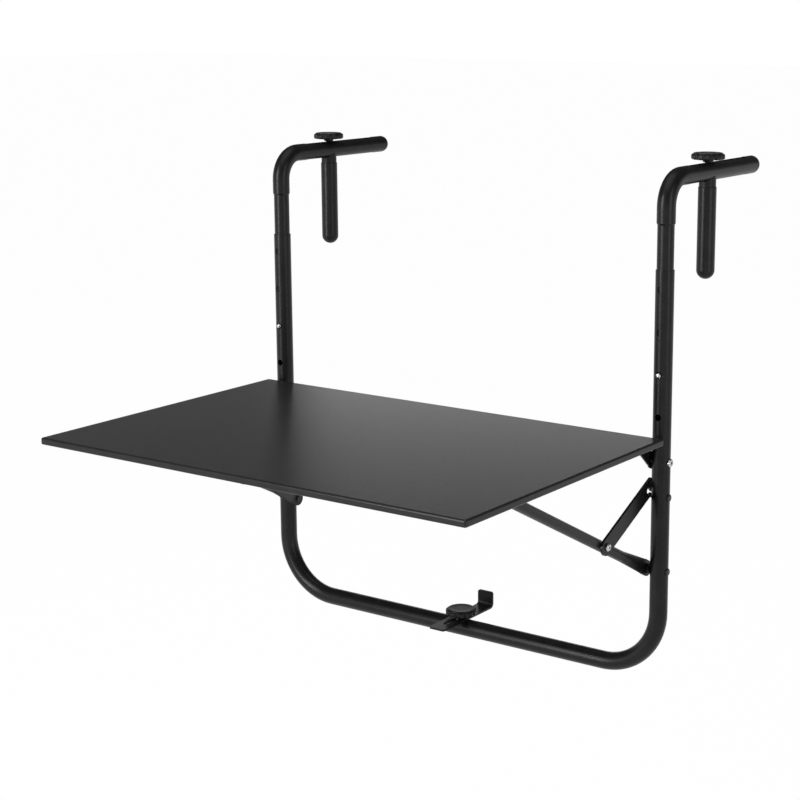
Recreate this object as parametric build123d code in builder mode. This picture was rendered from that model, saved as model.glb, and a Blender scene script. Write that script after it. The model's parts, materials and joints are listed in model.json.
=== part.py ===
"""Folding balcony table that hangs on a railing: a tube frame with two adjustable hooks,
a hinged sheet-steel top on two swing-out struts, latch links, railing clamps and a spacer.

Frame: +X to the right, +Y towards the railing, +Z up. The origin is the middle of the
railing's top front edge: the hook arms rest at z = 0 and the risers touch y = 0.
All sizes are in millimetres.
"""
from build123d import *
import os
from math import cos, radians, sin

# Tubes
tube_d = 22.0
tube_wall = 1.0
slip_d = 19.8
tube_r = tube_d / 2
bore_r = tube_r - tube_wall
slip_r = slip_d / 2
slip_bore_r = slip_r - tube_wall
leg_x = 287.5
tube_y = -tube_r
arm_z = tube_r

# Lower frame
frame_top_z = -94.0
frame_low_z = -581.9
frame_bend_r = 75.0
height_pitch = 50.0
button_z = -216.0
button_hole_r = 4.0
height_hole_count = 4
highest_hole_z = button_z + 2 * height_pitch

# Hooks
hook_bend_r = 33.0
arm_end_y = 203.0
shoulder_z = -40.0
shoulder_h = 2.0
slip_end_z = -250.0
slot_w = 8.6
slot_y0 = 38.0
slot_y1 = 186.0
cap_plug_l = 14.0
cap_plug_gap = 0.1

# Snap locks of the hooks
button_r = 3.1
button_tip_y = -24.6
button_round_r = 2.4
button_flange_r = 5.0
button_flange_t = 1.0
spring_front_y = -16.2
spring_rear_y = -4.6
spring_low_z = -240.0
spring_t = 0.8
spring_w = 8.0
spring_bend_r = 5.0

# Railing clamps
clamp_y = 89.0
post_top_z = -7.0
post_end_z = -106.0
saddle_d = 20.4
saddle_plug_l = 22.0
clamp_screw_r = 4.0
clamp_nut_af = 13.0
clamp_nut_h = 6.5
clamp_screw_end_z = -32.0
knob_d = 40.0
knob_h = 8.0
knob_hub_h = 3.0
knob_neck_d = 14.0
knob_foot_d = 12.0
knob_disc_h = 1.4
knob_lobes = 10
knob_flute_r = 5.0
knob_flute_depth = 1.8

# Table top
table_w = 602.0
table_d = 401.0
table_z = -288.0
table_rear_y = -30.0
sheet_t = 1.2
rim_h = 8.4
rim_lip = 10.0
rim_corner_r = 2.6
rim_edge_r = 2.4
rim_low_r = 2.0
mitre_gap = 0.7
mitre_overrun = 1.0

# Hinge of the table top
hinge_z = -321.0
hinge_r = 3.0
bracket_t = 2.0
bracket_gap = 0.5
bracket_eye_r = 10.0
bracket_flange_w = 30.0
bracket_front_y = -112.0
bracket_web_front_y = -62.0
bracket_rim_gap = 1.0
bolt_head_r = 5.0
bolt_head_h = 2.8
bolt_socket_af = 4.0
socket_share = 0.6
nut_af = 10.0
nut_h = 5.0
nut_gap = 0.4
thread_end_l = 2.0
head_round = 0.6

# Struts and their latch links
pivot_z = -454.4
pivot_r = 3.0
latch_z = -363.5
latch_pin_r = 3.0
pin_overhang = 0.6
strut_d = 13.0
strut_wall = 1.2
strut_angle = 27.4
strut_length = 342.3
strut_flat_t = 2.5
strut_flat_w = 18.8
strut_flat_l = 10.0
strut_neck_l = 50.0
strut_neck_overlap = 1.0
strut_face_x = 272.0
strut_cap_l = 12.0
strut_cap_d = 14.0
strut_cap_head_l = 7.0
strut_cap_round_r = 6.0
elbow_l = 115.5
elbow_r = 2.5
link_t = 3.0
link_w = 20.6
link_x0 = 272.5
link_length = 118.0
link_angle = 25.8
link_end_round_r = 3.0
hook_slot_w = 7.0
hook_slot_back = 10.5
hook_slot_angle = 137.8
hook_mouth_l = 40.0
rivet_head_r = 4.6
rivet_head_h = 1.4
rivet_dome_r = 1.2
pivot_bush_r = 6.0
elbow_head_r = 4.6
elbow_head_h = 3.2
elbow_socket_af = 3.0
elbow_nut_af = 8.0
elbow_nut_h = 4.0
fit_gap = 0.05
face_gap = 0.3

# Spacer at the bottom of the frame
plate_w = 23.0
plate_t = 2.5
plate_y0 = -66.0
plate_y1 = 46.5
plate_corner_r = 3.0
plate_slot_w = 7.0
plate_slot_y0 = -48.0
plate_slot_y1 = 14.0
tab_h = 21.4
tab_bend_r = 5.0
low_screw_r = 3.0
screw_short = 1.0
insert_r = 4.4
insert_l = 13.0
insert_lip_r = 6.5
insert_lip_h = 0.4
seat_depth = 0.5
seat_l = 28.0

strut_dir = Vector(0, -cos(radians(strut_angle)), sin(radians(strut_angle)))
elbow = Vector(0, tube_y, pivot_z) + strut_dir * elbow_l
sides = {"left": -1, "right": 1}
os.makedirs("parts", exist_ok=True)


def save(builder, label):
    builder.part.label = label
    export_step(builder.part, f"parts/{label}.step")


def side_plane(side, x):
    """A plane facing +X at the height x on the given side, with Y across and Z up."""
    return Plane.YZ.offset(side * x)


def add_x_rod(side, x0, x1, y, z, radius, mode=Mode.ADD):
    """A rod along X between two distances from the middle of the table."""
    with BuildSketch(side_plane(side, x0)) as section:
        with Locations((y, z)):
            Circle(radius)
    extrude(section.sketch, amount=side * (x1 - x0), mode=mode)


def add_x_hexagon(side, x0, x1, y, z, across_flats, mode=Mode.ADD):
    with BuildSketch(side_plane(side, x0)) as section:
        with Locations((y, z)):
            RegularPolygon(across_flats / 2, 6, major_radius=False)
    extrude(section.sketch, amount=side * (x1 - x0), mode=mode)


def add_z_rod(x, y, z0, z1, radius, mode=Mode.ADD):
    with BuildSketch(Plane.XY.offset(z0)) as section:
        with Locations((x, y)):
            Circle(radius)
    extrude(section.sketch, amount=z1 - z0, mode=mode)


def add_y_rod(x, z, y0, y1, radius, mode=Mode.ADD):
    with BuildSketch(Plane.XZ.offset(-y0)) as section:
        with Locations((x, z)):
            Circle(radius)
    extrude(section.sketch, amount=y0 - y1, mode=mode)


def add_knob(x, y, z0):
    """A knob: a short tapered hub, a head with finger flutes and a plain round disc on top."""
    head_z = z0 + knob_hub_h
    with BuildSketch(Plane.XY.offset(z0)) as foot_section:
        with Locations((x, y)):
            Circle(knob_foot_d / 2)
    with BuildSketch(Plane.XY.offset(head_z)) as neck_section:
        with Locations((x, y)):
            Circle(knob_neck_d / 2)
    loft([foot_section.sketch, neck_section.sketch])
    with BuildSketch(Plane.XY.offset(head_z)) as section:
        with Locations((x, y)):
            Circle(knob_d / 2)
            with PolarLocations(knob_d / 2 + knob_flute_r - knob_flute_depth, knob_lobes):
                Circle(knob_flute_r, mode=Mode.SUBTRACT)
    head = extrude(section.sketch, amount=knob_h - knob_disc_h)
    rims = head.edges().group_by(Axis.Z)
    chamfer(rims[0] + rims[-1], length=knob_disc_h)
    disc_r = (knob_d - knob_disc_h) / 2 - knob_flute_depth
    add_z_rod(x, y, head_z + knob_disc_h, head_z + knob_h, disc_r)


# Lower frame: one tube bent to a U, with height holes in front and cross holes for the pins
with BuildPart() as lower_frame:
    with BuildLine() as frame_path:
        FilletPolyline(
            (-leg_x, tube_y, frame_top_z),
            (-leg_x, tube_y, frame_low_z),
            (leg_x, tube_y, frame_low_z),
            (leg_x, tube_y, frame_top_z),
            radius=frame_bend_r,
        )
    with BuildSketch(Plane((-leg_x, tube_y, frame_top_z), z_dir=(0, 0, -1))):
        Circle(tube_r)
        Circle(bore_r, mode=Mode.SUBTRACT)
    sweep(path=frame_path.line)
    for side in sides.values():
        for step in range(height_hole_count):
            hole_z = highest_hole_z - step * height_pitch
            add_y_rod(side * leg_x, hole_z, -tube_d, tube_y, button_hole_r, Mode.SUBTRACT)
        add_x_rod(side, leg_x - tube_d, leg_x + tube_d, tube_y, hinge_z, hinge_r + fit_gap, Mode.SUBTRACT)
        add_x_rod(side, leg_x - tube_d, leg_x + tube_d, tube_y, latch_z, latch_pin_r, Mode.SUBTRACT)
        add_x_rod(side, leg_x - tube_d, leg_x + tube_d, tube_y, pivot_z, pivot_r, Mode.SUBTRACT)
    seat_z = frame_low_z + tube_r - seat_depth
    with BuildSketch(Plane.XY.offset(seat_z)):
        with Locations((0, tube_y)):
            Rectangle(seat_l, tube_d)
    extrude(amount=tube_r, mode=Mode.SUBTRACT)
    add_z_rod(0, tube_y, frame_low_z, frame_low_z + tube_d, insert_r, Mode.SUBTRACT)
save(lower_frame, "lower_frame")

# Table top: one folded sheet with a rounded rim and a mitred return lip
table_mid = (0, table_rear_y - table_d / 2)
rim_z = table_z - rim_h
mitre_reach = rim_lip + mitre_gap
mitre_run = (table_w - mitre_reach + mitre_overrun) / 2
mitre_rise = (table_d - mitre_reach + mitre_overrun) / 2
with BuildPart() as rim_hollow:
    with BuildSketch(Plane.XY.offset(rim_z + sheet_t)):
        with Locations(table_mid):
            RectangleRounded(table_w - 2 * sheet_t, table_d - 2 * sheet_t, rim_corner_r - sheet_t)
    extrude(amount=rim_h - 2 * sheet_t)
    fillet(rim_hollow.edges().group_by(Axis.Z)[-1], radius=rim_edge_r - sheet_t)
    fillet(rim_hollow.edges().group_by(Axis.Z)[0], radius=rim_low_r - sheet_t)
with BuildPart() as table_top:
    with BuildSketch(Plane.XY.offset(rim_z)):
        with Locations(table_mid):
            RectangleRounded(table_w, table_d, rim_corner_r)
    extrude(amount=rim_h)
    fillet(table_top.edges().group_by(Axis.Z)[-1], radius=rim_edge_r)
    fillet(table_top.edges().group_by(Axis.Z)[0], radius=rim_low_r)
    add(rim_hollow.part, mode=Mode.SUBTRACT)
    with BuildSketch(Plane.XY.offset(rim_z)):
        with Locations(table_mid):
            Rectangle(table_w - 2 * rim_lip, table_d - 2 * rim_lip)
    extrude(amount=sheet_t, mode=Mode.SUBTRACT)
    with BuildSketch(Plane.XY.offset(rim_z)):
        with Locations(table_mid):
            for turn in (1, -1):
                for end in (1, -1):
                    with Locations(Location((end * mitre_run, turn * end * mitre_rise), turn * 45)):
                        Rectangle((mitre_reach + mitre_overrun) * 2 ** 0.5, mitre_gap)
    extrude(amount=rim_h - rim_edge_r, mode=Mode.SUBTRACT)
save(table_top, "table_top")

# Hooks, their caps and the snap locks inside them
for name, side in sides.items():
    hook_x = side * leg_x
    with BuildPart() as hook:
        with BuildLine() as hook_path:
            FilletPolyline(
                (hook_x, arm_end_y, arm_z),
                (hook_x, tube_y, arm_z),
                (hook_x, tube_y, shoulder_z),
                radius=hook_bend_r,
            )
        with BuildSketch(Plane((hook_x, arm_end_y, arm_z), z_dir=(0, -1, 0))):
            Circle(tube_r)
            Circle(bore_r, mode=Mode.SUBTRACT)
        sweep(path=hook_path.line)
        with BuildSketch(Plane.XZ.offset(-tube_y)) as shoulder_profile:
            with BuildLine():
                Polyline(
                    (hook_x + bore_r, shoulder_z),
                    (hook_x + tube_r, shoulder_z),
                    (hook_x + slip_r, shoulder_z - shoulder_h),
                    (hook_x + slip_r, slip_end_z),
                    (hook_x + slip_bore_r, slip_end_z),
                    (hook_x + slip_bore_r, shoulder_z - shoulder_h),
                    close=True,
                )
            make_face()
        revolve(axis=Axis((hook_x, tube_y, 0), (0, 0, 1)))
        with BuildSketch(Plane.XY.offset(-tube_d)):
            with Locations((hook_x, (slot_y0 + slot_y1) / 2)):
                SlotOverall(slot_y1 - slot_y0, slot_w, rotation=90)
        extrude(amount=3 * tube_d, mode=Mode.SUBTRACT)
        add_y_rod(hook_x, button_z, -tube_d, tube_y, button_hole_r, Mode.SUBTRACT)
    save(hook, f"{name}_hook_tube")

    with BuildPart() as hook_cap:
        add_y_rod(hook_x, arm_z, arm_end_y - cap_plug_l, arm_end_y, bore_r - cap_plug_gap)
        with BuildSketch(side_plane(side, leg_x)):
            with BuildLine():
                Line((arm_end_y, arm_z), (arm_end_y, arm_z + tube_r))
                RadiusArc((arm_end_y, arm_z + tube_r), (arm_end_y + tube_r, arm_z), tube_r)
                Line((arm_end_y + tube_r, arm_z), (arm_end_y, arm_z))
            make_face()
        revolve(axis=Axis((hook_x, 0, arm_z), (0, 1, 0)))
    save(hook_cap, f"{name}_hook_cap")

    with BuildPart() as snap_button:
        add_y_rod(hook_x, button_z, spring_front_y, button_tip_y, button_r)
        fillet(snap_button.edges().sort_by(Axis.Y)[0], radius=button_round_r)
        add_y_rod(hook_x, button_z, spring_front_y, spring_front_y - button_flange_t, button_flange_r)
    save(snap_button, f"{name}_snap_button")

    with BuildPart() as snap_spring:
        with BuildSketch(side_plane(side, leg_x)):
            with BuildLine():
                FilletPolyline(
                    (spring_front_y + spring_t / 2, button_z + spring_w),
                    (spring_front_y + spring_t / 2, spring_low_z),
                    (spring_rear_y, spring_low_z),
                    (spring_rear_y, button_z + spring_w),
                    radius=spring_bend_r,
                )
            trace(line_width=spring_t)
        extrude(amount=spring_w / 2, both=True)
    save(snap_spring, f"{name}_snap_spring")

# Railing clamps: post, foot, saddle, nut, screw and knob
for name, side in sides.items():
    post_x = side * leg_x
    with BuildPart() as clamp_post:
        with BuildSketch(Plane.XY.offset(post_end_z)):
            with Locations((post_x, clamp_y)):
                Circle(tube_r)
                Circle(bore_r, mode=Mode.SUBTRACT)
        extrude(amount=post_top_z - post_end_z)
        top_rims = clamp_post.edges().filter_by(GeomType.CIRCLE).group_by(Axis.Z)[-1]
        fillet(top_rims.sort_by(SortBy.RADIUS)[-1], radius=tube_wall / 2)
    save(clamp_post, f"{name}_clamp_post")

    with BuildPart() as clamp_foot:
        add_z_rod(post_x, clamp_y, post_end_z, post_end_z + cap_plug_l, bore_r - cap_plug_gap)
        with BuildSketch(side_plane(side, leg_x)):
            with BuildLine():
                Line((clamp_y, post_end_z), (clamp_y + tube_r, post_end_z))
                RadiusArc((clamp_y + tube_r, post_end_z), (clamp_y, post_end_z - tube_r), tube_r)
                Line((clamp_y, post_end_z - tube_r), (clamp_y, post_end_z))
            make_face()
        revolve(axis=Axis((post_x, clamp_y, 0), (0, 0, 1)))
    save(clamp_foot, f"{name}_clamp_foot")

    with BuildPart() as clamp_saddle:
        add_z_rod(post_x, clamp_y, post_top_z - saddle_plug_l, post_top_z, bore_r - cap_plug_gap)
        add_z_rod(post_x, clamp_y, post_top_z, arm_z, saddle_d / 2)
        add_y_rod(post_x, arm_z, clamp_y - tube_d, clamp_y + tube_d, tube_r + face_gap, Mode.SUBTRACT)
        add_z_rod(post_x, clamp_y, -tube_d * 2, arm_z, clamp_screw_r + face_gap, Mode.SUBTRACT)
        with BuildSketch(Plane.XY.offset(post_top_z - saddle_plug_l)):
            with Locations((post_x, clamp_y)):
                RegularPolygon(clamp_nut_af / 2 + cap_plug_gap, 6, major_radius=False)
        extrude(amount=clamp_nut_h + face_gap, mode=Mode.SUBTRACT)
    save(clamp_saddle, f"{name}_clamp_saddle")

    with BuildPart() as clamp_nut:
        with BuildSketch(Plane.XY.offset(post_top_z - saddle_plug_l)):
            with Locations((post_x, clamp_y)):
                RegularPolygon(clamp_nut_af / 2, 6, major_radius=False)
                Circle(clamp_screw_r + fit_gap, mode=Mode.SUBTRACT)
        extrude(amount=clamp_nut_h)
    save(clamp_nut, f"{name}_clamp_nut")

    knob_z0 = tube_d + face_gap
    screw_top_z = knob_z0 + knob_hub_h + knob_h / 2
    with BuildPart() as clamp_knob:
        add_knob(post_x, clamp_y, knob_z0)
        add_z_rod(post_x, clamp_y, knob_z0, screw_top_z, clamp_screw_r, Mode.SUBTRACT)
    save(clamp_knob, f"{name}_clamp_knob")

    with BuildPart() as clamp_screw:
        add_z_rod(post_x, clamp_y, clamp_screw_end_z, screw_top_z, clamp_screw_r)
        chamfer(clamp_screw.edges().group_by(Axis.Z)[0], length=clamp_screw_r / 4)
    save(clamp_screw, f"{name}_clamp_screw")

# Table hinge: welded brackets under the top, bolts through the frame legs
leg_inner_x = leg_x - tube_r
leg_outer_x = leg_x + tube_r
bracket_x1 = leg_inner_x - bracket_gap
bracket_x0 = bracket_x1 - bracket_t
sheet_under_z = table_z - sheet_t
bracket_rear_y = table_rear_y - rim_lip - face_gap
bracket_neck_z = table_z - rim_h - bracket_rim_gap
for name, side in sides.items():
    with BuildPart() as hinge_bracket:
        with BuildSketch(side_plane(side, bracket_x0)):
            with BuildLine():
                Polyline(
                    (bracket_web_front_y, sheet_under_z),
                    (bracket_rear_y, sheet_under_z),
                    (bracket_rear_y, bracket_neck_z),
                    (table_rear_y, bracket_neck_z),
                    (tube_y, hinge_z + bracket_eye_r),
                    (tube_y, hinge_z - bracket_eye_r),
                    (tube_y - bracket_eye_r / 2, hinge_z - bracket_eye_r * 0.8),
                    close=True,
                )
            make_face()
            with Locations((tube_y, hinge_z)):
                Circle(bracket_eye_r)
        extrude(amount=side * bracket_t)
        flange_mid_x = side * (bracket_x1 - bracket_flange_w / 2)
        flange_mid_y = (bracket_front_y + bracket_rear_y) / 2
        with BuildSketch(Plane.XY.offset(sheet_under_z - bracket_t)):
            with Locations((flange_mid_x, flange_mid_y)):
                Rectangle(bracket_flange_w, bracket_rear_y - bracket_front_y)
        extrude(amount=bracket_t)
        add_x_rod(side, bracket_x0, bracket_x1, tube_y, hinge_z, hinge_r + fit_gap, Mode.SUBTRACT)
    save(hinge_bracket, f"{name}_hinge_bracket")

    with BuildPart() as hinge_bolt:
        add_x_rod(side, bracket_x0 - nut_gap - nut_h - thread_end_l, leg_outer_x, tube_y, hinge_z, hinge_r)
        add_x_rod(side, leg_outer_x, leg_outer_x + bolt_head_h, tube_y, hinge_z, bolt_head_r)
        head_rim = hinge_bolt.edges().filter_by(GeomType.CIRCLE).sort_by(Axis.X, reverse=side < 0)[-1]
        fillet(head_rim, radius=bolt_head_h * head_round)
        socket_x0 = leg_outer_x + bolt_head_h * (1 - socket_share)
        socket_x1 = leg_outer_x + bolt_head_h
        add_x_hexagon(side, socket_x0, socket_x1, tube_y, hinge_z, bolt_socket_af, Mode.SUBTRACT)
    save(hinge_bolt, f"{name}_hinge_bolt")

    with BuildPart() as hinge_nut:
        nut_x1 = bracket_x0 - nut_gap
        add_x_hexagon(side, nut_x1 - nut_h, nut_x1, tube_y, hinge_z, nut_af)
        add_x_rod(side, nut_x1 - nut_h, nut_x1, tube_y, hinge_z, hinge_r, Mode.SUBTRACT)
    save(hinge_nut, f"{name}_hinge_nut")

# Struts: tube flattened at the pivot end, round cap at the free end
strut_axis_x = strut_face_x - strut_d / 2


def strut_plane(side, along):
    """The cross-section plane of a strut at a distance from its pivot."""
    foot = Vector(side * strut_axis_x, tube_y, pivot_z)
    return Plane(foot + strut_dir * along, x_dir=(1, 0, 0), z_dir=strut_dir)


for name, side in sides.items():
    flat_shift = side * (strut_d - strut_flat_t) / 2
    neck_end = strut_flat_l + strut_neck_l
    with BuildPart() as strut:
        with BuildSketch(strut_plane(side, neck_end)):
            Circle(strut_d / 2)
        with BuildSketch(strut_plane(side, strut_flat_l - strut_neck_overlap)):
            with Locations((flat_shift, 0)):
                Ellipse(strut_flat_t / 2, strut_flat_w / 2)
        loft()
        with BuildSketch(strut_plane(side, neck_end)):
            Circle(strut_d / 2)
        extrude(amount=strut_length - neck_end)
        with BuildSketch(strut_plane(side, neck_end)):
            Circle(strut_d / 2 - strut_wall)
        extrude(amount=strut_length - neck_end, mode=Mode.SUBTRACT)
        with BuildSketch(side_plane(side, strut_face_x - strut_flat_t)):
            with Locations(Location((tube_y, pivot_z), 180 - strut_angle)):
                with Locations((strut_flat_l / 2, 0)):
                    SlotCenterToCenter(strut_flat_l, strut_flat_w)
        extrude(amount=side * strut_flat_t)
        hole_x0 = strut_axis_x - strut_d
        add_x_rod(side, hole_x0, leg_inner_x, tube_y, pivot_z, pivot_r + fit_gap, Mode.SUBTRACT)
        add_x_rod(side, hole_x0, leg_inner_x, elbow.Y, elbow.Z, elbow_r + fit_gap, Mode.SUBTRACT)
    save(strut, f"{name}_strut")

    with BuildPart() as strut_cap:
        with BuildSketch(strut_plane(side, strut_length - strut_cap_l)):
            Circle(strut_d / 2 - strut_wall - cap_plug_gap)
        extrude(amount=strut_cap_l)
        with BuildSketch(strut_plane(side, strut_length)):
            Circle(strut_cap_d / 2)
        extrude(amount=strut_cap_head_l)
        cap_tip = strut_cap.faces().sort_by(Axis((0, 0, 0), strut_dir))[-1]
        fillet(cap_tip.edges(), radius=strut_cap_round_r)
    save(strut_cap, f"{name}_strut_cap")

    with BuildPart() as pivot_rivet:
        rivet_in_x = strut_face_x - strut_flat_t - face_gap
        add_x_rod(side, rivet_in_x, leg_outer_x, tube_y, pivot_z, pivot_r)
        add_x_rod(side, leg_outer_x, leg_outer_x + rivet_head_h, tube_y, pivot_z, rivet_head_r)
        add_x_rod(side, rivet_in_x - rivet_head_h, rivet_in_x, tube_y, pivot_z, rivet_head_r)
        head_rims = pivot_rivet.edges().filter_by(GeomType.CIRCLE).sort_by(Axis.X)
        fillet([head_rims[0], head_rims[-1]], radius=rivet_dome_r)
    save(pivot_rivet, f"{name}_pivot_rivet")

    with BuildPart() as pivot_bush:
        add_x_rod(side, strut_face_x + face_gap, leg_inner_x, tube_y, pivot_z, pivot_bush_r)
        add_x_rod(side, strut_face_x + face_gap, leg_inner_x, tube_y, pivot_z, pivot_r, Mode.SUBTRACT)
    save(pivot_bush, f"{name}_pivot_bush")

    # Latch link with its notched end, the pin it holds on to, and the elbow bolt and nut
    with BuildPart() as latch_link:
        with BuildSketch(side_plane(side, link_x0)) as link_face:
            with Locations(Location((elbow.Y, elbow.Z), link_angle)):
                with Locations((link_length / 2, 0)):
                    Rectangle(link_length, link_w)
            fillet(link_face.vertices().sort_by(Axis.Y)[-2:], radius=link_end_round_r)
            with Locations((elbow.Y, elbow.Z)):
                Circle(link_w / 2)
                Circle(elbow_r + fit_gap, mode=Mode.SUBTRACT)
            with Locations(Location((tube_y, latch_z), hook_slot_angle)):
                with Locations((hook_slot_back / 2, 0)):
                    SlotCenterToCenter(hook_slot_back, hook_slot_w, mode=Mode.SUBTRACT)
            with Locations(Location((tube_y, latch_z), link_angle)):
                with Locations((hook_mouth_l / 2, 0)):
                    SlotCenterToCenter(hook_mouth_l, hook_slot_w, mode=Mode.SUBTRACT)
        extrude(amount=side * link_t)
    save(latch_link, f"{name}_latch_link")

    with BuildPart() as latch_pin:
        add_x_rod(side, link_x0 - pin_overhang, leg_outer_x, tube_y, latch_z, latch_pin_r)
        add_x_rod(side, leg_outer_x, leg_outer_x + rivet_head_h, tube_y, latch_z, rivet_head_r)
        head_rim = latch_pin.edges().filter_by(GeomType.CIRCLE).sort_by(Axis.X, reverse=side < 0)[-1]
        fillet(head_rim, radius=rivet_dome_r)
    save(latch_pin, f"{name}_latch_pin")

    elbow_in_x = strut_axis_x - strut_d / 2 - face_gap
    head_x0 = link_x0 + link_t + face_gap
    with BuildPart() as elbow_bolt:
        add_x_rod(side, elbow_in_x - elbow_nut_h - thread_end_l, head_x0, elbow.Y, elbow.Z, elbow_r)
        add_x_rod(side, head_x0, head_x0 + elbow_head_h, elbow.Y, elbow.Z, elbow_head_r)
        head_rim = elbow_bolt.edges().filter_by(GeomType.CIRCLE).sort_by(Axis.X, reverse=side < 0)[-1]
        fillet(head_rim, radius=elbow_head_h * head_round)
        socket_x0 = head_x0 + elbow_head_h * (1 - socket_share)
        socket_x1 = head_x0 + elbow_head_h
        add_x_hexagon(side, socket_x0, socket_x1, elbow.Y, elbow.Z, elbow_socket_af, Mode.SUBTRACT)
    save(elbow_bolt, f"{name}_elbow_bolt")

    with BuildPart() as elbow_nut:
        add_x_hexagon(side, elbow_in_x - elbow_nut_h, elbow_in_x, elbow.Y, elbow.Z, elbow_nut_af)
        add_x_rod(side, elbow_in_x - elbow_nut_h, elbow_in_x, elbow.Y, elbow.Z, elbow_r, Mode.SUBTRACT)
    save(elbow_nut, f"{name}_elbow_nut")

# Spacer: slotted angle plate on the bottom tube, held by a knob screw in a threaded insert
plate_z0 = seat_z + insert_lip_h
plate_z1 = plate_z0 + plate_t
with BuildPart() as spacer_plate:
    with BuildSketch(Plane.YZ.offset(-plate_w / 2)):
        with BuildLine():
            FilletPolyline(
                (plate_y0, plate_z0 + plate_t / 2),
                (plate_y1 - plate_t / 2, plate_z0 + plate_t / 2),
                (plate_y1 - plate_t / 2, plate_z0 + tab_h),
                radius=tab_bend_r,
            )
        trace(line_width=plate_t)
    extrude(amount=plate_w)
    front_corners = spacer_plate.edges().filter_by(Axis.Z).group_by(Axis.Y)[0]
    tab_corners = spacer_plate.edges().filter_by(Axis.Y).group_by(Axis.Z)[-1]
    fillet(front_corners + tab_corners, radius=plate_corner_r)
    with BuildSketch(Plane.XY.offset(plate_z0)):
        with Locations((0, (plate_slot_y0 + plate_slot_y1) / 2)):
            SlotOverall(plate_slot_y1 - plate_slot_y0, plate_slot_w, rotation=90)
    extrude(amount=plate_t, mode=Mode.SUBTRACT)
save(spacer_plate, "spacer_plate")

with BuildPart() as spacer_insert:
    add_z_rod(0, tube_y, plate_z0 - insert_l, plate_z0 - insert_lip_h, insert_r)
    add_z_rod(0, tube_y, plate_z0 - insert_lip_h, plate_z0, insert_lip_r)
    add_z_rod(0, tube_y, plate_z0 - insert_l, plate_z0, low_screw_r + fit_gap, Mode.SUBTRACT)
save(spacer_insert, "spacer_insert")

low_hub_z0 = plate_z1 + face_gap
low_screw_top_z = low_hub_z0 + knob_hub_h + knob_h / 2
with BuildPart() as spacer_knob:
    add_knob(0, tube_y, low_hub_z0)
    add_z_rod(0, tube_y, low_hub_z0, low_screw_top_z, low_screw_r, Mode.SUBTRACT)
save(spacer_knob, "spacer_knob")

with BuildPart() as spacer_screw:
    add_z_rod(0, tube_y, plate_z0 - insert_l + screw_short, low_screw_top_z, low_screw_r)
save(spacer_screw, "spacer_screw")
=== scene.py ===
import json
import math

import bmesh
import bpy
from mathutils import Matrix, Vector


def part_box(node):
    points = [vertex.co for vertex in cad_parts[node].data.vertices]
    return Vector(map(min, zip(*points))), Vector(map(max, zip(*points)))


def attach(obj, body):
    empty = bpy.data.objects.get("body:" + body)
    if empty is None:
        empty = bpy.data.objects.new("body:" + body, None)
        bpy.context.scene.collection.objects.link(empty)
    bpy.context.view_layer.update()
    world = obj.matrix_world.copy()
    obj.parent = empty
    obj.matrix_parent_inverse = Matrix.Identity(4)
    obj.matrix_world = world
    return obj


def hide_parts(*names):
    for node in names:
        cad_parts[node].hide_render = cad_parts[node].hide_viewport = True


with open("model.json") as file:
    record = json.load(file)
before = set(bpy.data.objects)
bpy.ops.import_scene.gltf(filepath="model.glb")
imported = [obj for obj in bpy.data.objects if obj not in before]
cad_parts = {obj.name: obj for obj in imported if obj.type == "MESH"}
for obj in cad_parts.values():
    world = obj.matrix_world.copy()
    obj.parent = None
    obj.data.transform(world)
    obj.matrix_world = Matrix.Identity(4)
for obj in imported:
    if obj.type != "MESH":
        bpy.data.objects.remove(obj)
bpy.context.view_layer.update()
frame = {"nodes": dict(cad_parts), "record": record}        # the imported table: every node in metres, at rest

nodes = frame["nodes"]
scene = bpy.context.scene
sides = ("left", "right")
mm = 0.001
print("frame loaded with", len(nodes), "nodes")


# small node-tree helpers

def newTree(name):
    material = bpy.data.materials.new(name)
    material.use_nodes = True
    tree = material.node_tree
    return material, tree, tree.nodes["Principled BSDF"]


def addNode(tree, kind, **inputs):
    node = tree.nodes.new(kind)
    for key, value in inputs.items():
        node.inputs[key.replace("_", " ")].default_value = value
    return node


def noiseAt(tree, coords, scale, detail, roughness=0.5):
    noise = addNode(tree, "ShaderNodeTexNoise", Scale=scale, Detail=detail, Roughness=roughness)
    tree.links.new(coords, noise.inputs["Vector"])
    return noise.outputs["Fac"]


def rampBetween(tree, factor, low, high, darkColor, lightColor):
    ramp = tree.nodes.new("ShaderNodeValToRGB")
    ramp.color_ramp.elements[0].position = low
    ramp.color_ramp.elements[0].color = (*darkColor, 1)
    ramp.color_ramp.elements[1].position = high
    ramp.color_ramp.elements[1].color = (*lightColor, 1)
    tree.links.new(factor, ramp.inputs["Fac"])
    return ramp.outputs["Color"]


patternSpan = (0.25, 0.75)    # where most of a noise pattern lies


def spread(tree, factor, low, high):
    # turns a 0..1 pattern into a value between low and high
    node = addNode(tree, "ShaderNodeMapRange", To_Min=low, To_Max=high)
    node.inputs["From Min"].default_value, node.inputs["From Max"].default_value = patternSpan
    tree.links.new(factor, node.inputs["Value"])
    return node.outputs["Result"]


def bumpFrom(tree, height, distance, strength, under=None):
    bump = addNode(tree, "ShaderNodeBump", Strength=strength, Distance=distance)
    tree.links.new(height, bump.inputs["Height"])
    if under is not None:
        tree.links.new(under, bump.inputs["Normal"])
    return bump.outputs["Normal"]


def objectCoords(tree):
    return tree.nodes.new("ShaderNodeTexCoord").outputs["Object"]


# finishes

tubeCoat = {
    "dark": (0.0058, 0.0058, 0.006),
    "light": (0.0098, 0.0098, 0.01),
    "rough": (0.31, 0.36),
    "specular": 0.19,
    "peelScale": 420,      # waves of the coat, about 2.5 mm
    "peelHeight": 0.000004,
    "grainScale": 2600,    # fine grit of the coat
    "grainHeight": 0.000003,
}


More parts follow.
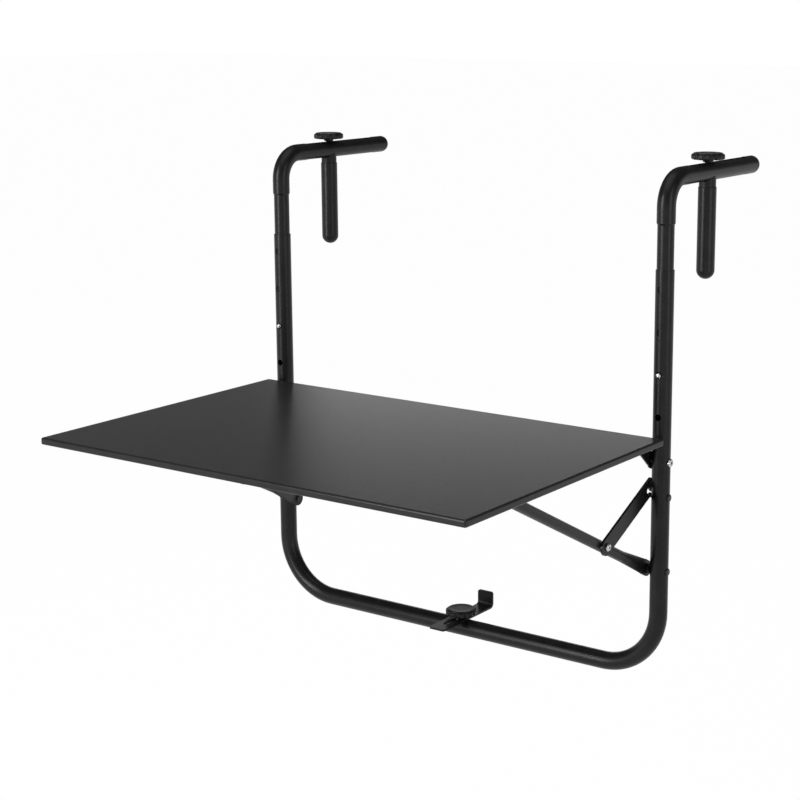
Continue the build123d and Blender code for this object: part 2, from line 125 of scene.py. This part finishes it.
coatLayers = {
    "blotchScale": 55,       # slow drift of the black
    "blotchDetail": 3,
    "blotchEnds": (0.3, 0.7),
    "fineDetail": 2,
    "peelStrength": 0.5,
    "grainStrength": 0.6,
}


def makeCoat(name, spec):
    material, tree, shader = newTree(name)
    coords = objectCoords(tree)
    blotch = noiseAt(tree, coords, coatLayers["blotchScale"], coatLayers["blotchDetail"])
    peel = noiseAt(tree, coords, spec["peelScale"], coatLayers["fineDetail"])
    grain = noiseAt(tree, coords, spec["grainScale"], coatLayers["fineDetail"])
    color = rampBetween(tree, blotch, *coatLayers["blotchEnds"], spec["dark"], spec["light"])
    tree.links.new(color, shader.inputs["Base Color"])
    tree.links.new(spread(tree, peel, *spec["rough"]), shader.inputs["Roughness"])
    shader.inputs["Specular IOR Level"].default_value = spec["specular"]
    coarse = bumpFrom(tree, peel, spec["peelHeight"], coatLayers["peelStrength"])
    fine = bumpFrom(tree, grain, spec["grainHeight"], coatLayers["grainStrength"], coarse)
    tree.links.new(fine, shader.inputs["Normal"])
    return material


topCoat = {
    "dark": (0.0125, 0.0125, 0.0129),
    "light": (0.0165, 0.0165, 0.0169),
    "rough": (0.27, 0.32),
    "specular": 0.2,
    "peelScale": 700,
    "peelHeight": 0.00004,
    "grainScale": 2400,
    "grainHeight": 0.000012,
}

plasticFinish = {
    "dark": (0.006, 0.006, 0.0062),
    "light": (0.010, 0.010, 0.0103),
    "rough": (0.38, 0.48),
    "specular": 0.2,
    "peelScale": 1500,     # spark-eroded mould texture
    "peelHeight": 0.00003,
    "grainScale": 4200,
    "grainHeight": 0.00001,
}

rivetFinish = {
    "dark": (0.006, 0.006, 0.006),
    "light": (0.014, 0.014, 0.014),
    "rough": (0.26, 0.36),
    "specular": 0.25,
    "peelScale": 900,
    "peelHeight": 0.00003,
    "grainScale": 3000,
    "grainHeight": 0.00001,
}

zincFinish = {
    "dark": (0.42, 0.42, 0.41),
    "light": (0.66, 0.66, 0.65),
    "rough": (0.2, 0.36),
    "spangle": (420, 3, 0.6),     # scale, detail and roughness of the pattern
    "spangleEnds": (0.3, 0.7),
    "scratch": (1600, 4, 0.7),
    "scratchHeight": 0.00001,
    "scratchStrength": 0.4,
}


def makeZinc(name, spec):
    material, tree, shader = newTree(name)
    coords = objectCoords(tree)
    spangle = noiseAt(tree, coords, *spec["spangle"])
    scratch = noiseAt(tree, coords, *spec["scratch"])
    color = rampBetween(tree, spangle, *spec["spangleEnds"], spec["dark"], spec["light"])
    tree.links.new(color, shader.inputs["Base Color"])
    shader.inputs["Metallic"].default_value = 1
    tree.links.new(spread(tree, scratch, *spec["rough"]), shader.inputs["Roughness"])
    bump = bumpFrom(tree, scratch, spec["scratchHeight"], spec["scratchStrength"])
    tree.links.new(bump, shader.inputs["Normal"])
    return material


finishes = {
    "tube": makeCoat("blackTubeCoat", tubeCoat),
    "top": makeCoat("charcoalTopCoat", topCoat),
    "plastic": makeCoat("mouldedPlastic", plasticFinish),
    "rivet": makeCoat("blackenedRivet", rivetFinish),
    "zinc": makeZinc("zincPlate", zincFinish),
}
print("finishes made:", len(finishes))

slotFinish = {
    "black_powder_coat": "tube",
    "charcoal_top": "top",
    "black_plastic": "plastic",
    "black_rivet": "rivet",
    "zinc_steel": "zinc",
}

for part in frame["record"]["subparts"]:
    mesh = nodes[part["node"]].data
    mesh.materials.clear()
    mesh.materials.append(finishes[slotFinish[part["material_slot"]]])
print("finishes given to the nodes")


# pieces: knobs, screw threads and weld beads

def addPiece(name, mesh, finish, slot, body, *replaced):
    piece = bpy.data.objects.new(name, mesh)
    scene.collection.objects.link(piece)
    mesh.materials.append(finishes[finish])
    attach(piece, body)
    if replaced:
        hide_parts(*replaced)


def ringMesh(name, rings, smoothAngle):
    # closed skin through rings of equal point count, with a fan at both ends
    build = bmesh.new()
    loops = [[build.verts.new(point) for point in ring] for ring in rings]
    count = len(loops[0])
    for low, high in zip(loops, loops[1:]):
        for k in range(count):
            m = (k + 1) % count
            build.faces.new((low[k], low[m], high[m], high[k]))
    for loop, flip in ((loops[0], True), (loops[-1], False)):
        middle = build.verts.new(sum((v.co for v in loop), Vector()) / count)
        for k in range(count):
            a, b = loop[k], loop[(k + 1) % count]
            build.faces.new((b, a, middle) if flip else (a, b, middle))
    bmesh.ops.recalc_face_normals(build, faces=build.faces)
    for face in build.faces:
        face.smooth = True
    for edge in build.edges:
        if len(edge.link_faces) == 2 and edge.calc_face_angle() > smoothAngle:
            edge.smooth = False
    mesh = bpy.data.meshes.new(name)
    build.to_mesh(mesh)
    build.free()
    return mesh


def middleOf(node):
    low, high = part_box(node)
    return [(a + b) / 2 for a, b in zip(low, high)], low, high


knobShape = {
    "lobes": 10,
    "segments": 240,
    "headHeight": 0.008,
    "fluteHalf": 0.19,       # half the flute's angle, in radians
    "fluteDepth": 0.0018,
    "smoothAngle": 1.0,
    "hub": [                 # mm above the foot, radius in mm
        (0.0, 5.8), (0.25, 6.0), (1.0, 6.25), (2.0, 6.65), (2.65, 7.0), (2.95, 7.5),
    ],
    "head": [                # mm above the hub, mm inside the rim, share of the flute
        (0.0, 11.5, 0), (0.0, 3.4, 0.5), (0.15, 2.0, 0.8), (0.6, 0.8, 1), (1.3, 0.15, 1), (2.0, 0.0, 1),
        (4.6, 0.0, 1), (5.5, 0.12, 1), (6.1, 0.5, 1), (6.5, 1.0, 0.95), (6.7, 1.5, 0.8), (6.75, 1.9, 0.5),
        (6.65, 2.15, 0.15), (6.6, 2.3, 0), (6.75, 2.42, 0), (7.5, 2.5, 0), (7.85, 2.75, 0), (8.0, 3.3, 0),
        (8.0, 5.0, 0), (7.9, 6.2, 0), (7.75, 7.0, 0), (7.7, 12.0, 0),
    ],
}


def knobMesh(name, node):
    spec = knobShape
    (x, y, _), low, high = middleOf(node)
    radius = (high[1] - low[1]) / 2
    hubTop = high[2] - spec["headHeight"]
    step = 2 * math.pi / spec["lobes"]
    turns = [2 * math.pi * k / spec["segments"] for k in range(spec["segments"])]

    def flute(angle):
        off = abs((angle + step / 2) % step - step / 2) / spec["fluteHalf"]
        return spec["fluteDepth"] * math.cos(off * math.pi / 2) ** 2 if off < 1 else 0.0

    def ring(z, r, share):
        reach = [r - share * flute(a) for a in turns]
        return [(x + d * math.cos(a), y + d * math.sin(a), z) for d, a in zip(reach, turns)]

    rings = [ring(low[2] + h * mm, r * mm, 0) for h, r in spec["hub"]]
    rings += [ring(hubTop + h * mm, radius - inset * mm, share) for h, inset, share in spec["head"]]
    return ringMesh(name, rings, spec["smoothAngle"])


threadShape = {
    "segments": 32,
    "ringsPerTurn": 6,
    "depthShare": 0.6,       # thread depth as a share of the pitch
    "clampPitch": 0.00125,
    "lowPitch": 0.001,
    "smoothAngle": 0.9,
}


def threadMesh(name, node, pitch):
    spec = threadShape
    (x, y, _), low, high = middleOf(node)
    z0, z1 = low[2], high[2]
    radius = (high[1] - low[1]) / 2
    count = int((z1 - z0) / pitch * spec["ringsPerTurn"])
    turns = [2 * math.pi * k / spec["segments"] for k in range(spec["segments"])]
    rings = []
    for k in range(count + 1):
        z = z0 + (z1 - z0) * k / count
        lead = min(1.0, (z - z0) / pitch)       # the first turn tapers in
        ring = []
        for angle in turns:
            wave = abs(((z - z0) / pitch - angle / (2 * math.pi)) % 1.0 * 2 - 1)
            r = radius - spec["depthShare"] * pitch * (wave + (1 - lead) * (1 - wave))
            ring.append((x + r * math.cos(angle), y + r * math.sin(angle), z))
        rings.append(ring)
    return ringMesh(name, rings, spec["smoothAngle"])


for side in sides:
    mesh = knobMesh(side + "_knob_head", side + "_clamp_knob")
    addPiece(side + "_knob_head", mesh, "plastic", "black_plastic", side + "_knob", side + "_clamp_knob")
    mesh = threadMesh(side + "_knob_thread", side + "_clamp_screw", threadShape["clampPitch"])
    addPiece(side + "_knob_thread", mesh, "rivet", "black_rivet", side + "_knob", side + "_clamp_screw")
mesh = knobMesh("low_knob_head", "spacer_knob")
addPiece("low_knob_head", mesh, "plastic", "black_plastic", "spacer_knob", "spacer_knob")
mesh = threadMesh("low_knob_thread", "spacer_screw", threadShape["lowPitch"])
addPiece("low_knob_thread", mesh, "rivet", "black_rivet", "spacer_knob", "spacer_screw")
print("knobs and threads built")

weldLook = {
    "width": 0.0032,
    "height": 0.0016,        # below the sheet
    "root": 0.0005,          # sunk into the sheet
    "ripple": 0.0015,        # length of one ripple
    "rippleDepth": 0.00025,
    "ringsPerRipple": 6,
    "fewestRings": 12,
    "segments": 12,
    "endSharpness": 8,       # how late the bead's ends round off
    "endLeast": 0.03,
    "smoothAngle": 0.9,
    "sheet": 0.0012,         # thickness of the sheet
    "frontShare": 0.25,      # part of the bracket's width left bare at each end of the front bead
    "rearRun": (0.062, 0.044),    # ahead of the bracket's rear
    "frontRun": (0.008, 0.028),   # behind the bracket's front
}


def weldMesh(name, start, end, down):
    # a rippled bead along a line, its root sunk in the sheet
    spec = weldLook
    line = end - start
    across = line.normalized().cross(down)
    count = max(spec["fewestRings"], int(line.length / spec["ripple"] * spec["ringsPerRipple"]))
    rings = []
    for k in range(count + 1):
        t = k / count
        taper = math.sqrt(max(spec["endLeast"], 1 - (2 * t - 1) ** spec["endSharpness"]))
        wave = abs(math.sin(t * line.length / spec["ripple"] * math.pi)) * spec["rippleDepth"]
        at = start + line * t
        ring = []
        for m in range(spec["segments"]):
            angle = 2 * math.pi * m / spec["segments"]
            side = across * (math.cos(angle) * spec["width"] / 2 * taper)
            reach = spec["height"] * taper - wave if math.sin(angle) > 0 else spec["root"]
            drop = down * (math.sin(angle) * reach)
            ring.append(at + side + drop)
        rings.append(ring)
    return ringMesh(name, rings, spec["smoothAngle"])


down = Vector((0, 0, -1))
for side in sides:
    low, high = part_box(side + "_hinge_bracket")
    inner, outer = (high[0], low[0]) if side == "left" else (low[0], high[0])
    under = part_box("table_top")[1][2] - weldLook["sheet"]
    bare = weldLook["frontShare"]
    near, far = inner * (1 - bare) + outer * bare, inner * bare + outer * (1 - bare)
    rearRun = [high[1] - reach for reach in weldLook["rearRun"]]
    frontRun = [low[1] + reach for reach in weldLook["frontRun"]]
    runs = {
        "front": ((near, low[1]), (far, low[1])),
        "rearRun": ((inner, rearRun[0]), (inner, rearRun[1])),
        "frontRun": ((inner, frontRun[0]), (inner, frontRun[1])),
    }
    for place, ends in runs.items():
        name = side + "_weld_" + place
        start, end = [Vector((x, y, under)) for x, y in ends]
        addPiece(name, weldMesh(name, start, end, down), "tube", "black_powder_coat", "table")
print("weld beads laid")


# stage: pale floor, white surroundings, soft lamps

stageLook = {
    "floorZ": -1.02,
    "floorSize": 60.0,
    "floorColor": (0.9, 0.9, 0.9),
    "floorRough": 0.9,
    "floorGloss": 0.1,
    "floorWhite": 0.98,      # the rest keeps the shadow
    "skyColor": (1, 1, 1),
    "fillStrength": 0.4,
    "ceiling": 0.1,          # what gloss sees overhead
    "horizon": (0.04, 0.19),  # heights between which white fades to the ceiling
}

floorMesh = bpy.data.meshes.new("floor")
half = stageLook["floorSize"] / 2
corners = [(-half, -half), (half, -half), (half, half), (-half, half)]
floorMesh.from_pydata([(x, y, stageLook["floorZ"]) for x, y in corners], [], [(0, 1, 2, 3)])
floor = bpy.data.objects.new("floor", floorMesh)
scene.collection.objects.link(floor)


def mathNode(tree, operation, first, second):
    node = tree.nodes.new("ShaderNodeMath")
    node.operation = operation
    for socket, value in zip(node.inputs, (first, second)):
        if isinstance(value, (int, float)):
            socket.default_value = value
        else:
            tree.links.new(value, socket)
    return node.outputs[0]


def seenRays(tree):
    # 1 for rays from the camera, in reflections and through glass
    rays = tree.nodes.new("ShaderNodeLightPath")
    direct = mathNode(tree, "MAXIMUM", rays.outputs["Is Camera Ray"], rays.outputs["Is Glossy Ray"])
    return rays, mathNode(tree, "MAXIMUM", direct, rays.outputs["Is Transmission Ray"])


floorPaint, floorTree, floorShader = newTree("floorPaint")
floorShader.inputs["Base Color"].default_value = (*stageLook["floorColor"], 1)
floorShader.inputs["Roughness"].default_value = stageLook["floorRough"]
floorShader.inputs["Specular IOR Level"].default_value = stageLook["floorGloss"]
floorWhite = addNode(floorTree, "ShaderNodeEmission", Strength=1.0)
floorMix = floorTree.nodes.new("ShaderNodeMixShader")
floorShare = mathNode(floorTree, "MULTIPLY", seenRays(floorTree)[1], stageLook["floorWhite"])
floorTree.links.new(floorShare, floorMix.inputs["Fac"])
floorTree.links.new(floorShader.outputs["BSDF"], floorMix.inputs[1])
floorTree.links.new(floorWhite.outputs["Emission"], floorMix.inputs[2])
floorTree.links.new(floorMix.outputs["Shader"], floorTree.nodes["Material Output"].inputs["Surface"])
floorMesh.materials.append(floorPaint)

world = bpy.data.worlds.new("studio")
scene.world = world
world.use_nodes = True
sky = world.node_tree
background = sky.nodes["Background"]
background.inputs["Color"].default_value = (*stageLook["skyColor"], 1)
skyRays, seen = seenRays(sky)
direction = sky.nodes.new("ShaderNodeTexCoord").outputs["Generated"]
height = sky.nodes.new("ShaderNodeSeparateXYZ")
sky.links.new(direction, height.inputs["Vector"])
fade = addNode(sky, "ShaderNodeMapRange", To_Min=1.0, To_Max=stageLook["ceiling"])
fade.inputs["From Min"].default_value, fade.inputs["From Max"].default_value = stageLook["horizon"]
sky.links.new(height.outputs["Z"], fade.inputs["Value"])
mirrored = mathNode(sky, "MAXIMUM", fade.outputs["Result"], skyRays.outputs["Is Camera Ray"])
lit = mathNode(sky, "MULTIPLY", mathNode(sky, "SUBTRACT", 1.0, seen), stageLook["fillStrength"])
shown = mathNode(sky, "MULTIPLY", seen, mirrored)
sky.links.new(mathNode(sky, "ADD", lit, shown), background.inputs["Strength"])

lamps = {
    "keyStrip": {"at": (-0.95, -2.5, 0.35), "aim": (0, -0.1, -0.25), "size": (0.25, 1.9), "power": 58},
    "sideFill": {"at": (2.6, -0.5, 0.3), "aim": (0, -0.1, -0.25), "size": (0.5, 1.8), "power": 16},
    "backSheen": {"at": (-1.3, 2.3, 0.0), "aim": (0.1, -0.2, -0.28), "size": (1.4, 0.4), "power": 3.7},
    "topSoft": {"at": (0, -0.6, 2.2), "aim": (0, -0.15, -0.3), "size": (2.4, 2.4), "power": 26},
}

for name, spec in lamps.items():
    light = bpy.data.lights.new(name, "AREA")
    light.shape = "RECTANGLE"
    light.size, light.size_y = spec["size"]
    light.energy = spec["power"]
    lamp = bpy.data.objects.new(name, light)
    lamp.location = spec["at"]
    lamp.rotation_euler = (Vector(spec["aim"]) - Vector(spec["at"])).to_track_quat("-Z", "Y").to_euler()
    scene.collection.objects.link(lamp)
print("stage and lamps set")

view = {
    "at": (1.2661, -1.8131, 0.2097),
    "aim": (0.1872, -0.2297, -0.1792),
    "lens": 80.79,
    "shift": (-0.107, -0.0447),
    "sensor": 36,
    "farClip": 100,
}
cameraData = bpy.data.cameras.new("photoCamera")
cameraData.sensor_width = view["sensor"]
cameraData.lens = view["lens"]
cameraData.shift_x, cameraData.shift_y = view["shift"]
cameraData.clip_end = view["farClip"]
camera = bpy.data.objects.new("photoCamera", cameraData)
camera.location = view["at"]
camera.rotation_euler = (Vector(view["aim"]) - Vector(view["at"])).to_track_quat("-Z", "Y").to_euler()
scene.collection.objects.link(camera)
scene.camera = camera
scene.view_settings.view_transform = "Standard"
print("camera placed")
